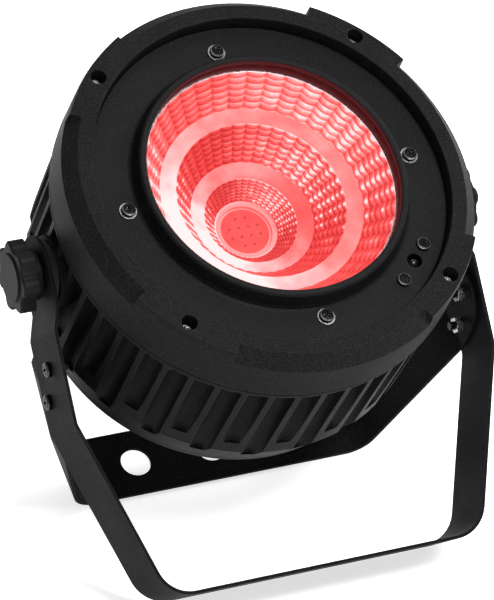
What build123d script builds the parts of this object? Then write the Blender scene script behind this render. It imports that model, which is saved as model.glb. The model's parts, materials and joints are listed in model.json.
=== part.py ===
from build123d import *
import math
import os

# A par can: a round finned lamp head with one multi-chip LED behind a three-step
# reflector, held between two bent straps that stand on the floor as an A-frame.
# Millimetres. +Z is up and the two straps stand on z = 0. X runs along the tilt
# axis, -Y is the side the lamp shines toward. The origin is on the floor, in the
# middle of the overall width and depth.
#
# Pieces of the lamp head are drawn in a frame of their own: its origin is the middle
# of the tilt axis, its Z is the optical axis and depths are counted from the front
# face of the four lugs.

os.makedirs("parts", exist_ok=True)

# ---------------------------------------------------------------- driving sizes
PIVOT_Y = 2.285           # tilt axis behind the middle of the overall depth
HEAD_TILT = 32.8          # optical axis away from vertical, toward -Y
PIVOT_DEPTH = 56.4        # tilt axis behind the lug faces
LUG_CIRCLE = 92.0         # radius of the circle of the four lug screws

RING_R = 98.0
RING_BACK_R = 98.5
RING_DEPTH = 28.5
RING_BORE = 85.0
FACE_R = 92.0             # between the lugs the face stops here and slopes back
SLOPE_DEPTH = 7.5
LUG_WIDTH = 30.0          # degrees
SHELF_TOP = 10.3
SHELF_BACK = 14.8
SHELF_BORE = 66.5
SPIGOT_R = 87.4

BEZEL_R = 84.6
BEZEL_FACE = 7.2
BEZEL_CLOCK = 1.5         # degrees the bezel sits round from square
BEZEL_SCREW_R = 71.5
COLLAR_BORE = 60.3
SENSOR_R = 74.8
SENSOR_ANGLE = -44.6
SENSOR_PITCH = 22.7
SENSOR_SHIFT = 1.4        # sensor from the middle between its two screws

FIN_COUNT = 48
FIN_FRONT_R = 97.2
FIN_BACK_R = 95.7
SLOT_WIDTH = 9.8
SLOT_REACH = 12.0         # cutter beyond the middle of the round floor
SLOT_FLOOR_R = 88.4       # under the ring
SHORT_SLOT_END = 81.0
SHORT_END_FLOOR = 94.0
LONG_SLOT_END = 97.5
LONG_END_FLOOR = 91.2
BODY_DEPTH = 114.4
REAR_R = 87.3
WEB_FRONT = 57.0
WEB_BACK = 65.0
CAVITY_R = 82.0

PANEL_R = 81.6
PANEL_FRONT = 111.5
PANEL_BACK = 114.0

STRAP_W = 34.8
STRAP_T = 1.6
BOSS_R = 16.7
BOSS_BACK_X = 83.5
BOSS_FACE_X = 98.2
FRICTION_R = 14.6
WASHER_FACE_X = 101.9     # outer face of the friction washer
PIVOT_FACE_X = 103.6      # outer face of the strap at the knob
STEP_FACE_X = 107.3       # outer face of the strap below the joggle
JOGGLE_START = 17.6
JOGGLE_END = 29.0
TAPER_START = 72.7
FRONT_LENGTH = 158.6
FRONT_HALF = 79.8         # half length of the front bar
FRONT_LEAN = 36.8
REAR_LEAN = 28.5
REAR_PIVOT = 44.4         # first joining screw, down the front strap
SCREW_PITCH = 16.6        # between the two joining screws
SCREW_TURN = 31.8         # their line, turned from the front strap toward the rear one
REAR_BEND = 21.0
REAR_END_SHIFT = 6.5      # middle of the round end, down the rear strap
REAR_HALF = 76.2
FRONT_BEND_R = 18.0
REAR_BEND_R = 14.0
CLAMP_HOLE_R = 7.5
CLAMP_PITCH = 39.4

STUD_R = 4.0
KNOB_R = 17.2
KNOB_LOBES = 7
LOBE_CIRCLE = 12.6        # radius of the circle the lobes are centred on
KNOB_WAIST_X = 104.9      # where the knob bears on its washer
KNOB_GRIP_X = 108.6
KNOB_CAP_X = 116.2

LUG_SINK_R = 3.85         # counterbore for the ring screw heads
LUG_SINK_DEPTH = 9.0
LUG_HOLE_R = 2.25
LUG_POST_R = 4.2
CLEAR_R = 2.2             # clearance of an M4 screw

# light engine, depths and screw circles
GLASS_FRONT = 0.95
GLASS_BACK = 4.9
GASKET_BACK = 6.0
HOLDER_FRONT = 50.2
DOME_FRONT = 51.2
CHIP_FRONT = 52.3
BASE_FRONT = 52.8
BASE_BACK = 54.5
HOLDER_SCREW = 15.0
SPREADER_SCREW_R = 30.0

# electronics, depths and screw places
PSU_FRONT = 73.0
PSU_BACK = 74.6
CONTROL_FRONT = 104.0
CONTROL_BACK = 105.6
CONTROL_X = (-30, 30)
CONTROL_Y = (22, 50)
DISPLAY_Y = 42.0
WINDOW_STEP = 112.3       # seat of the display window in the panel

# rear panel sockets
SOCKET_FACE = 115.8
INLET_FACE = 116.0
SOCKET_FLOOR = 100.0      # bottom of the three socket bores
XLR_BARREL_R = 11.5
XLR_BORE_R = 9.4
XLR_SCREW_X = 9.5
XLR_SCREW_Y = 12.0
PIN_CIRCLE_R = 4.8
PIN_R = 1.2
INLET_SCREW_X = 20.0
EYE_X = 9.0               # legs of the safety eye either side of the middle
EYE_ROD_R = 2.0
NUT_THICK = 3.2

# both straps reach the same floor
PIVOT_HEIGHT = (FRONT_LENGTH * math.cos(math.radians(FRONT_LEAN))
                + STRAP_W / 2 * math.sin(math.radians(FRONT_LEAN)))
REAR_LENGTH = ((PIVOT_HEIGHT - REAR_PIVOT * math.cos(math.radians(FRONT_LEAN))
                - STRAP_W / 2 * math.sin(math.radians(REAR_LEAN)))
               / math.cos(math.radians(REAR_LEAN)))

HEAD = Pos(0, PIVOT_Y, PIVOT_HEIGHT) * Rot(HEAD_TILT, 0, 0)
SLOT_PITCH = 360.0 / FIN_COUNT


# ---------------------------------------------------------------- helpers
def deep(depth):
    """Height in the head frame of a depth behind the lug faces."""
    return PIVOT_DEPTH - depth


def cyl(radius, top, bottom, x=0.0, y=0.0):
    """Upright cylinder between two depths."""
    height = bottom - top
    return Pos(x, y, deep(top) - height / 2) * Cylinder(radius, height)


def box(w, h, top, bottom, x=0.0, y=0.0):
    """Upright block between two depths."""
    height = bottom - top
    return Pos(x, y, deep(top) - height / 2) * Box(w, h, height)


def turned(points, arc=360.0, start=0.0):
    """Solid of revolution from (radius, depth) corners."""
    outline = [(r, 0, deep(d)) for r, d in points]
    face = make_face(Polyline(*outline, close=True))
    solid = revolve(face, Axis.Z, arc)
    return Rot(0, 0, start) * solid


def ring(outer, inner, top, bottom):
    return cyl(outer, top, bottom) - cyl(inner, top - 1, bottom + 1)


def around(radius, angle):
    a = math.radians(angle)
    return radius * math.cos(a), radius * math.sin(a)


def put(node, shape):
    """Write one node; the shape is already in the shared frame."""
    solids = shape.solids()
    if len(solids) == 1:
        result = solids[0]
    else:
        result = Compound(children=list(solids))
    export_step(result, "parts/" + node + ".step")


def put_head(node, shape):
    put(node, HEAD * shape)


def pan_screw(head_r, head_h, shank_r, length):
    """Cross-head screw: head above z = 0, shank below it."""
    head = Pos(0, 0, head_h / 2) * Cylinder(head_r, head_h)
    top_edge = head.edges().sort_by(Axis.Z)[-1]
    head = fillet(top_edge, head_h * 0.55)
    shank = Pos(0, 0, -length / 2) * Cylinder(shank_r, length)
    cross = Pos(0, 0, head_h) * Box(head_r * 1.1, head_r * 0.26, head_h * 1.1)
    cross += Pos(0, 0, head_h) * Box(head_r * 0.26, head_r * 1.1, head_h * 1.1)
    return head + shank - cross


def hex_nut():
    """M4 nut standing on z = 0."""
    nut = extrude(RegularPolygon(4.0, 6), NUT_THICK)
    return nut - Cylinder(EYE_ROD_R + 0.02, 3 * NUT_THICK)


# ---------------------------------------------------------------- front ring
def front_ring():
    body = turned([
        (RING_BORE, 0.4), (RING_BORE + 0.4, 0), (RING_R - 0.6, 0), (RING_R, 3.5),
        (RING_BACK_R, RING_DEPTH - 0.6), (RING_BACK_R - 0.6, RING_DEPTH),
        (SPIGOT_R + 0.3, RING_DEPTH), (SPIGOT_R + 0.3, SHELF_BACK),
        (SHELF_BORE, SHELF_BACK), (SHELF_BORE, SHELF_TOP),
        (RING_BORE, SHELF_TOP),
    ])
    for k in range(4):
        start = 90 * k - (90 - LUG_WIDTH) / 2
        body -= turned([
            (FACE_R, -0.5), (RING_R + 2, -0.5), (RING_R + 2, SLOPE_DEPTH + 0.1),
            (RING_R + 0.05, SLOPE_DEPTH), (FACE_R, 0),
        ], 90 - LUG_WIDTH, start)
        x, y = around(LUG_CIRCLE, 45 + 90 * k)
        body -= cyl(LUG_SINK_R, -1, LUG_SINK_DEPTH, x, y)
        body -= cyl(LUG_HOLE_R, LUG_SINK_DEPTH - 1, RING_DEPTH + 1, x, y)
    for k in range(4):
        x, y = around(BEZEL_SCREW_R, BEZEL_CLOCK + 90 * k)
        body += cyl(4.6, SHELF_BACK - 0.5, SHELF_BACK + 6, x, y)
        body -= cyl(1.75, SHELF_TOP - 1, SHELF_BACK + 7, x, y)
    window = Rot(0, 0, SENSOR_ANGLE) * box(15.0, 31.0, SHELF_TOP - 1, SHELF_BACK + 1, SENSOR_R, 0)
    body -= window
    return body


def ring_screws():
    one = pan_screw(3.4, 2.4, 1.95, 25.0)
    group = []
    for k in range(4):
        x, y = around(LUG_CIRCLE, 45 + 90 * k)
        group.append(Pos(x, y, deep(LUG_SINK_DEPTH)) * one)
    return Compound(children=group)


# ---------------------------------------------------------------- bezel and window
def bezel_plate():
    body = turned([
        (COLLAR_BORE, -1.0), (COLLAR_BORE + 0.8, -1.7), (63.0, -1.7), (63.9, -0.9),
        (64.3, 1.5), (65.1, 5.0), (66.0, 6.7), (67.2, BEZEL_FACE),
        (BEZEL_R - 0.4, BEZEL_FACE), (BEZEL_R, BEZEL_FACE + 0.4),
        (BEZEL_R, SHELF_TOP), (62.9, SHELF_TOP), (62.9, 0.9), (COLLAR_BORE, 0.9),
    ])
    for k in range(4):
        x, y = around(BEZEL_SCREW_R, BEZEL_CLOCK + 90 * k)
        body -= cyl(2.2, 6, 12, x, y)
    for side in (-1, 1):
        body -= Rot(0, 0, SENSOR_ANGLE) * cyl(1.8, 6, 12, SENSOR_R, side * SENSOR_PITCH / 2)
    body -= Rot(0, 0, SENSOR_ANGLE) * cyl(3.6, 6, 12, SENSOR_R, SENSOR_SHIFT)
    return body


def bezel_screws():
    one = pan_screw(3.4, 2.2, 1.70, 15.0)
    group = []
    for k in range(4):
        x, y = around(BEZEL_SCREW_R, BEZEL_CLOCK + 90 * k)
        group.append(Pos(x, y, deep(BEZEL_FACE - 0.7)) * one)
    return Compound(children=group)


def bezel_washers():
    group = []
    for k in range(4):
        x, y = around(BEZEL_SCREW_R, BEZEL_CLOCK + 90 * k)
        washer = cyl(4.2, BEZEL_FACE - 0.7, BEZEL_FACE, x, y)
        washer -= cyl(2.2, BEZEL_FACE - 2, BEZEL_FACE + 1, x, y)
        group.append(washer)
    return Compound(children=group)


def glass_window():
    return cyl(62.6, GLASS_FRONT, GLASS_BACK)


def glass_gasket():
    return ring(62.5, 60.2, GLASS_BACK, GASKET_BACK)


def housing_seal():
    return ring(SPIGOT_R + 0.28, SPIGOT_R - 1.4, 20.2, 22.2)


# ---------------------------------------------------------------- sensor behind the bezel
def sensor_board():
    board = box(12.0, 29.0, 16.0, 17.6, SENSOR_R, 0)
    for side in (-1, 1):
        board += cyl(2.9, SHELF_TOP, 16.0, SENSOR_R, side * SENSOR_PITCH / 2)
        board -= cyl(1.3, 9, 19, SENSOR_R, side * SENSOR_PITCH / 2)
    return Rot(0, 0, SENSOR_ANGLE) * board


def ir_sensor():
    body = box(6.4, 6.4, 12.0, 16.0, SENSOR_R, SENSOR_SHIFT)
    body += cyl(2.9, 10.8, 12.5, SENSOR_R, SENSOR_SHIFT)
    dome = Pos(SENSOR_R, SENSOR_SHIFT, deep(10.9)) * Sphere(2.9)
    dome -= box(20, 20, 11.0, 20, SENSOR_R, 0)
    return Rot(0, 0, SENSOR_ANGLE) * (body + dome)


def sensor_screws():
    one = pan_screw(3.3, 2.0, 1.25, 10.0)
    group = []
    for side in (-1, 1):
        place = Rot(0, 0, SENSOR_ANGLE) * Pos(SENSOR_R, side * SENSOR_PITCH / 2, deep(BEZEL_FACE))
        group.append(place * one)
    return Compound(children=group)


# ---------------------------------------------------------------- finned housing
def slot_cutter(end, end_floor):
    """Cooling channel at angle 0: its round floor rises toward the flat rear end."""
    start = RING_DEPTH + 4.3
    half = SLOT_WIDTH / 2
    rise = math.atan2(end_floor - SLOT_FLOOR_R, end - start)
    profile = Circle(half) + Pos(SLOT_REACH / 2, 0) * Rectangle(SLOT_REACH, SLOT_WIDTH)
    plane = Plane(origin=(SLOT_FLOOR_R + half, 0, deep(start)),
                  x_dir=(math.cos(rise), 0, math.sin(rise)),
                  z_dir=(math.sin(rise), 0, -math.cos(rise)))
    return extrude(plane * profile, (end - start) / math.cos(rise))


def housing():
    body = turned([
        (RING_BACK_R - 0.7, RING_DEPTH + 0.3), (RING_BACK_R - 0.2, RING_DEPTH + 0.8),
        (RING_BACK_R - 0.2, RING_DEPTH + 2.6), (FIN_FRONT_R, RING_DEPTH + 3.2),
        (FIN_BACK_R, 90.0), (95.0, 91.8), (88.9, 108.0), (REAR_R, BODY_DEPTH - 0.8),
        (REAR_R - 0.8, BODY_DEPTH), (PANEL_R + 0.4, BODY_DEPTH),
        (PANEL_R + 0.4, PANEL_FRONT), (74.0, PANEL_FRONT), (74.0, 107.5),
        (CAVITY_R, 105.0), (CAVITY_R, WEB_BACK), (5.0, WEB_BACK), (5.0, WEB_FRONT),
        (CAVITY_R, WEB_FRONT), (CAVITY_R, 18.0), (SPIGOT_R, 18.0),
        (SPIGOT_R, 20.0), (SPIGOT_R - 1.5, 20.0), (SPIGOT_R - 1.5, 22.4),
        (SPIGOT_R, 22.4), (SPIGOT_R, RING_DEPTH + 0.3),
    ])
    cutters = []
    for k in range(FIN_COUNT):
        angle = SLOT_PITCH * (k + 0.5)
        if k % 2 == 0:
            cutter = slot_cutter(LONG_SLOT_END, LONG_END_FLOOR)
        else:
            cutter = slot_cutter(SHORT_SLOT_END, SHORT_END_FLOOR)
        cutters.append(Rot(0, 0, angle) * cutter)
    body -= cutters
    for k in range(4):
        x, y = around(LUG_CIRCLE, 45 + 90 * k)
        body += cyl(LUG_POST_R, RING_DEPTH + 1, RING_DEPTH + 9, x, y)
        body -= cyl(2.0, RING_DEPTH - 1, RING_DEPTH + 8, x, y)
    # flat bosses the straps bear on, with the threaded holes of the tilt axis
    for side in (-1, 1):
        boss = Pos(side * (BOSS_FACE_X + BOSS_BACK_X) / 2, 0, 0) * Rot(0, 90, 0)
        body += boss * Cylinder(BOSS_R, BOSS_FACE_X - BOSS_BACK_X)
    body -= Rot(0, 90, 0) * Cylinder(STUD_R + 0.06, 240)
    # round pads keep the stud holes out of the middle of the web
    inner = Rot(0, 90, 0) * Cylinder(STUD_R + 1.5, 2 * 66.0)
    body += inner & ring(74.0, 5.0, WEB_FRONT, WEB_BACK)
    for k in range(6):
        x, y = around(PANEL_SCREW_R, 30 + 60 * k)
        body -= cyl(1.3, 106, 113, x, y)
    for k in range(3):
        x, y = around(SPREADER_SCREW_R, 90 + 120 * k)
        body -= cyl(1.6, WEB_FRONT - 1, WEB_BACK - 1.5, x, y)
    # way through the web for the LED leads
    body -= cyl(5.0, WEB_FRONT - 1, WEB_BACK + 1, 48, 20)
    for x, y in PSU_POSTS:
        body += cyl(4.0, WEB_BACK - 0.5, WEB_BACK + 8.0, x, y)
        body -= cyl(1.3, WEB_BACK + 1.5, WEB_BACK + 9.0, x, y)
    return body


PSU_POSTS = [(-52, -40), (52, -40), (-52, 40), (52, 40)]


# ---------------------------------------------------------------- light engine
def reflector_line():
    """Inner wall of the reflector as (radius, depth), from the glass down."""
    return [(59.6, 6.1), (54.6, 12.2), (50.9, 17.2), (48.6, 21.1), (40.8, 21.8),
            (36.0, 27.6), (32.2, 33.2), (29.6, 37.9), (22.4, 40.7), (18.2, 45.0),
            (15.2, 49.4), (14.4, 50.2)]


def reflector():
    inside = reflector_line()
    outside = [(r + 1.3, d + 0.7) for r, d in inside[1:-1]]
    outside = [(62.5, 6.1), (62.5, 7.3), (60.3, 7.3)] + outside + [(15.7, 50.2)]
    return turned(inside + list(reversed(outside)))


def led_dome():
    body = cyl(12.5, DOME_FRONT, BASE_FRONT)
    body = fillet(body.edges().sort_by(Axis.Z)[-1], 0.7)
    return body - cyl(11.6, 51.9, 53.0)


DIE_SPOTS = [(-2.4, 7.2), (2.4, 7.2), (-7.2, 2.4), (-2.4, 2.4), (2.4, 2.4), (7.2, 2.4),
             (-7.2, -2.4), (-2.4, -2.4), (2.4, -2.4), (7.2, -2.4), (-2.4, -7.2), (2.4, -7.2)]


def led_chips():
    group = [box(1.9, 1.9, CHIP_FRONT, BASE_FRONT, x, y) for x, y in DIE_SPOTS]
    return Compound(children=group)


def led_base():
    base = box(38.0, 38.0, BASE_FRONT, BASE_BACK)
    for sx in (-1, 1):
        base -= cyl(1.7, 52, 55, sx * HOLDER_SCREW, sx * HOLDER_SCREW)
    return base


def led_holder():
    body = cyl(25.0, HOLDER_FRONT, BASE_FRONT) - cyl(13.0, 49, 54)
    for sx in (-1, 1):
        body -= cyl(1.7, 49, 55, sx * HOLDER_SCREW, sx * HOLDER_SCREW)
    return body


def heat_spreader():
    body = cyl(36.0, BASE_BACK, WEB_FRONT)
    for sx in (-1, 1):
        body -= cyl(1.3, 54, 58, sx * HOLDER_SCREW, sx * HOLDER_SCREW)
    for k in range(3):
        x, y = around(SPREADER_SCREW_R, 90 + 120 * k)
        body -= cyl(1.7, 54, 58, x, y)
    return body


def holder_screws():
    one = pan_screw(2.8, 1.8, 1.25, 6.6)
    group = []
    for sx in (-1, 1):
        group.append(Pos(sx * HOLDER_SCREW, sx * HOLDER_SCREW, deep(HOLDER_FRONT)) * one)
    return Compound(children=group)


def spreader_screws():
    one = pan_screw(2.8, 1.8, 1.5, 7.5)
    group = []
    for k in range(3):
        x, y = around(SPREADER_SCREW_R, 90 + 120 * k)
        group.append(Pos(x, y, deep(BASE_BACK)) * one)
    return Compound(children=group)


# ---------------------------------------------------------------- electronics
def power_board():
    board = box(120.0, 92.0, PSU_FRONT, PSU_BACK)
    for x, y in PSU_POSTS:
        board -= cyl(1.7, 72, 76, x, y)
    return board


def board_screws():
    one = pan_screw(2.8, 1.8, 1.25, 6.0)
    group = [Pos(x, y, deep(PSU_BACK)) * Rot(180, 0, 0) * one for x, y in PSU_POSTS]
    return Compound(children=group)


def power_parts():
    group = [
        box(30, 26, PSU_BACK, 92.0, -22, -22),
        box(24, 20, PSU_BACK, 86.0, 16, -26),
        cyl(8.0, PSU_BACK, 96.0, -40, 14),
        cyl(8.0, PSU_BACK, 96.0, -20, 14),
        cyl(5.0, PSU_BACK, 90.0, 0, 14),
        cyl(5.0, PSU_BACK, 90.0, 14, 14),
        box(22, 8, PSU_BACK, 88.0, 38, 10),
        box(14, 12, PSU_BACK, 82.0, 40, -14),
    ]
    return Compound(children=group)


def control_board():
    board = box(70.0, 36.0, CONTROL_FRONT, CONTROL_BACK, 0, 36)
    for x in CONTROL_X:
        for y in CONTROL_Y:
            board -= cyl(1.6, 103, 107, x, y)
    return board


BUTTON_X = (-21.0, -7.0, 7.0, 21.0)
BUTTON_Y = 24.0
BUTTON_NAMES = ("button_menu", "button_down", "button_up", "button_enter")


def button_switches():
    group = [box(6.2, 6.2, CONTROL_BACK, 109.0, x, BUTTON_Y) for x in BUTTON_X]
    return Compound(children=group)


def menu_button(x):
    """Rear push button: cap through the panel with a flange inside it."""
    cap = cyl(3.9, 110.2, 115.2, x, BUTTON_Y)
    cap = fillet(cap.edges().sort_by(Axis.Z)[0], 0.5)
    flange = cyl(5.2, 110.2, 111.2, x, BUTTON_Y)
    return cap + flange


def display_module():
    return box(38.0, 16.0, CONTROL_BACK, 110.9, 0, DISPLAY_Y)


def display_window():
    pane = box(43.6, 17.6, WINDOW_STEP, PANEL_BACK, 0, DISPLAY_Y)
    return pane + box(39.6, 13.6, 111.2, WINDOW_STEP, 0, DISPLAY_Y)


# ---------------------------------------------------------------- rear panel
PANEL_SCREW_R = 77.8
XLR_X = 41.0
XLR_Y = -14.0
INLET_Y = -20.0
FUSE_X = 31.0
FUSE_Y = -49.0
EYE_Y = -58.0


def rear_panel():
    body = cyl(PANEL_R, PANEL_FRONT, PANEL_BACK)
    body -= box(44.0, 18.0, WINDOW_STEP, 115, 0, DISPLAY_Y)
    body -= box(40.0, 14.0, 110, 115, 0, DISPLAY_Y)
    for x in BUTTON_X:
        body -= cyl(4.0, 110, 115, x, BUTTON_Y)
    for side in (-1, 1):
        body -= cyl(11.8, 110, 115, side * XLR_X, XLR_Y)
        for s in (-1, 1):
            x = side * XLR_X + s * XLR_SCREW_X
            body -= cyl(1.6, 110, 115, x, XLR_Y + s * XLR_SCREW_Y)
    body -= box(27.6, 20.0, 110, 115, 0, INLET_Y)
    body -= box(5.4, 8.0, 110, 115, XLR_X, XLR_Y + 11.4)
    for s in (-1, 1):
        body -= cyl(1.6, 110, 115, s * INLET_SCREW_X, INLET_Y)
        body -= cyl(EYE_ROD_R + 0.05, 110, 115, s * EYE_X, EYE_Y)
    body -= cyl(6.2, 110, 115, FUSE_X, FUSE_Y)
    for k in range(6):
        x, y = around(PANEL_SCREW_R, 30 + 60 * k)
        body -= cyl(1.7, 110, 115, x, y)
    for x in CONTROL_X:
        for y in CONTROL_Y:
            body += cyl(2.8, CONTROL_BACK, PANEL_FRONT + 0.2, x, y)
            body -= cyl(1.2, 105, 111.6, x, y)
    return body


def control_screws():
    one = pan_screw(2.4, 1.5, 1.15, 5.0)
    group = []
    for x in CONTROL_X:
        for y in CONTROL_Y:
            group.append(Pos(x, y, deep(CONTROL_FRONT)) * one)
    return Compound(children=group)


def panel_screws():
    one = pan_screw(2.9, 1.9, 1.25, 6.0)
    group = []
    for k in range(6):
        x, y = around(PANEL_SCREW_R, 30 + 60 * k)
        group.append(Pos(x, y, deep(PANEL_BACK)) * Rot(180, 0, 0) * one)
    return Compound(children=group)


def connector_screws():
    one = pan_screw(2.6, 1.6, 1.4, 8.0)
    group = []
    for side in (-1, 1):
        for s in (-1, 1):
            x = side * XLR_X + s * XLR_SCREW_X
            y = XLR_Y + s * XLR_SCREW_Y
            group.append(Pos(x, y, deep(SOCKET_FACE)) * Rot(180, 0, 0) * one)
    for s in (-1, 1):
        group.append(Pos(s * INLET_SCREW_X, INLET_Y, deep(INLET_FACE)) * Rot(180, 0, 0) * one)
    return Compound(children=group)


def xlr_shell(x):
    """Panel socket body: square flange outside, barrel inside."""
    flange = box(26.0, 31.0, PANEL_BACK, SOCKET_FACE, x, XLR_Y)
    flange = fillet(flange.edges().filter_by(Axis.Z), 2.5)
    barrel = cyl(XLR_BARREL_R, 97.0, 115.0, x, XLR_Y)
    body = flange + barrel
    for s in (-1, 1):
        body -= cyl(1.6, 110, 118, x + s * XLR_SCREW_X, XLR_Y + s * XLR_SCREW_Y)
    body -= cyl(XLR_BORE_R, SOCKET_FLOOR, 118, x, XLR_Y)
    return body


def dmx_in():
    body = xlr_shell(-XLR_X)
    for k in range(3):
        x, y = around(PIN_CIRCLE_R, 90 + 120 * k)
        body -= cyl(PIN_R + 0.01, 95, 104, -XLR_X + x, XLR_Y + y)
    return body


def dmx_in_pins():
    group = []
    for k in range(3):
        x, y = around(PIN_CIRCLE_R, 90 + 120 * k)
        group.append(cyl(PIN_R, 93.0, 112.0, -XLR_X + x, XLR_Y + y))
    return Compound(children=group)


def dmx_in_core():
    """Insulator in the floor of the barrel that carries the pins."""
    body = cyl(XLR_BORE_R - 0.02, SOCKET_FLOOR, 102.5, -XLR_X, XLR_Y)
    for k in range(3):
        x, y = around(PIN_CIRCLE_R, 90 + 120 * k)
        body -= cyl(PIN_R + 0.01, 99, 104, -XLR_X + x, XLR_Y + y)
    return body


def dmx_out():
    body = xlr_shell(XLR_X)
    body -= box(5.4, 8.0, 111.0, 118, XLR_X, XLR_Y + 11.4)
    return body


def dmx_out_core():
    body = cyl(7.6, SOCKET_FLOOR, 114.6, XLR_X, XLR_Y)
    body += cyl(XLR_BORE_R - 0.02, SOCKET_FLOOR, 102.0, XLR_X, XLR_Y)
    for k in range(3):
        x, y = around(PIN_CIRCLE_R, 90 + 120 * k)
        body -= cyl(PIN_R + 0.1, 103.0, 116, XLR_X + x, XLR_Y + y)
    return body


def dmx_latch():
    """Release tab of the output socket; it is pushed in to free the plug."""
    tab = box(5.0, 5.4, 113.2, 117.0, XLR_X, XLR_Y + 11.8)
    tab = fillet(tab.edges().filter_by(Axis.Z), 0.8)
    return tab


def power_inlet():
    flange = box(48.0, 22.0, PANEL_BACK, INLET_FACE, 0, INLET_Y)
    flange = fillet(flange.edges().filter_by(Axis.Z), 5.0)
    body = flange + box(27.2, 19.6, 96.0, 115.0, 0, INLET_Y)
    mouth = box(24.4, 16.6, SOCKET_FLOOR, 118, 0, INLET_Y)
    mouth = chamfer(mouth.edges().filter_by(Axis.Z).sort_by(Axis.Y)[:2], 4.5)
    body -= mouth
    body += box(16.0, 8.6, SOCKET_FLOOR, 114.0, 0, INLET_Y)
    for s in (-1, 1):
        body -= cyl(1.6, 112, 118, s * INLET_SCREW_X, INLET_Y)
    for x, y in INLET_PINS:
        body -= box(2.04, 4.04, 95, 118, x, INLET_Y + y)
    return body


INLET_PINS = [(-7.0, -1.5), (0.0, 2.0), (7.0, -1.5)]


def inlet_pins():
    group = [box(2.0, 4.0, 92.0, 114.0, x, INLET_Y + y) for x, y in INLET_PINS]
    return Compound(children=group)


def fuse_holder():
    body = cyl(6.0, 92.0, PANEL_BACK, FUSE_X, FUSE_Y)
    body += cyl(8.0, PANEL_BACK, 115.4, FUSE_X, FUSE_Y)
    body -= cyl(4.9, 93.0, 118, FUSE_X, FUSE_Y)
    nut = cyl(9.0, 108.5, PANEL_FRONT, FUSE_X, FUSE_Y)
    nut -= cyl(6.0, 107, 112, FUSE_X, FUSE_Y)
    return body + nut


def fuse_cap():
    body = cyl(4.84, 110.0, 116.0, FUSE_X, FUSE_Y)
    body += cyl(6.4, 115.6, 119.0, FUSE_X, FUSE_Y)
    body = fillet(body.edges().sort_by(Axis.Z)[0], 0.6)
    body -= box(8.0, 1.4, 117.8, 120, FUSE_X, FUSE_Y)
    return body - cyl(2.7, 109, 113.0, FUSE_X, FUSE_Y)


def fuse_link():
    return cyl(2.5, 93.4, 112.8, FUSE_X, FUSE_Y)


def safety_eye():
    """Bent rod for the safety wire, through the panel with nuts inside."""
    path = Polyline((-EYE_X, EYE_Y, deep(104)), (-EYE_X, EYE_Y, deep(121)),
                    (EYE_X, EYE_Y, deep(121)), (EYE_X, EYE_Y, deep(104)))
    path = fillet(path.vertices()[1:3], 6.0)
    profile = Plane(origin=path @ 0, z_dir=path % 0) * Circle(EYE_ROD_R)
    return sweep(profile, path)


def eye_nuts():
    group = []
    for s in (-1, 1):
        nut = Pos(s * EYE_X, EYE_Y, deep(PANEL_FRONT)) * hex_nut()
        group.append(nut)
    return Compound(children=group)


# ---------------------------------------------------------------- tilt axis
def friction_washer(side):
    middle = side * (BOSS_FACE_X + WASHER_FACE_X) / 2
    body = Pos(middle, 0, 0) * Rot(0, 90, 0) * Cylinder(FRICTION_R, WASHER_FACE_X - BOSS_FACE_X)
    return body - Rot(0, 90, 0) * Cylinder(STUD_R + 0.5, 240)


def knob(side):
    """Lobed hand knob with a waist toward the strap and a domed cap."""
    star = Circle(14.4)
    for k in range(KNOB_LOBES):
        x, y = around(LOBE_CIRCLE, 360.0 / KNOB_LOBES * k)
        star += Pos(x, y) * Circle(KNOB_R - LOBE_CIRCLE)
    star = fillet(star.vertices(), 1.2)
    grip = Pos(0, 0, KNOB_GRIP_X) * extrude(star, KNOB_CAP_X - KNOB_GRIP_X)
    grip = chamfer(grip.faces().sort_by(Axis.Z)[-1].edges(), 0.8)
    grip += Pos(0, 0, KNOB_WAIST_X) * extrude(Circle(12.0), KNOB_GRIP_X + 0.1 - KNOB_WAIST_X)
    cap = Pos(0, 0, KNOB_CAP_X) * extrude(Circle(11.6), 1.0)
    cap = chamfer(cap.faces().sort_by(Axis.Z)[-1].edges(), 0.5)
    grip += cap
    grip -= Pos(0, 0, 108.5) * Cylinder(STUD_R, 10.0)
    turn = Rot(0, 90, 0) if side > 0 else Rot(0, -90, 0)
    return turn * grip


def knob_stud(side):
    body = Pos(side * 98.5, 0, 0) * Rot(0, 90, 0) * Cylinder(STUD_R, 29.9)
    return body


def knob_washer(side):
    middle = side * (PIVOT_FACE_X + KNOB_WAIST_X) / 2 + side * 0.05
    body = Pos(middle, 0, 0) * Rot(0, 90, 0) * Cylinder(9.0, 1.2)
    return body - Rot(0, 90, 0) * Cylinder(STUD_R + 0.25, 240)


# ---------------------------------------------------------------- straps
def shifted(line, gap):
    """Open polyline moved sideways by gap, toward the middle of the object."""
    result = []
    for i, (x, s) in enumerate(line):
        px, ps = line[i - 1] if i > 0 else line[i]
        nx, ns = line[i + 1] if i < len(line) - 1 else line[i]
        first = Vector(x - px, s - ps).normalized() if i > 0 else None
        last = Vector(nx - x, ns - s).normalized() if i < len(line) - 1 else None
        d1 = first or last
        d2 = last or first
        n1 = Vector(-d1.Y, d1.X)
        n2 = Vector(-d2.Y, d2.X)
        reach = gap / (1 + n1.dot(n2))
        result.append((x + (n1.X + n2.X) * reach, s + (n1.Y + n2.Y) * reach))
    return result


def bend_side(line, i):
    """+1 where the strap bends toward the middle, -1 where it bends away."""
    before = Vector(line[i][0] - line[i - 1][0], line[i][1] - line[i - 1][1])
    after = Vector(line[i + 1][0] - line[i][0], line[i + 1][1] - line[i][1])
    return 1 if before.X * after.Y - before.Y * after.X > 0 else -1


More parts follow.
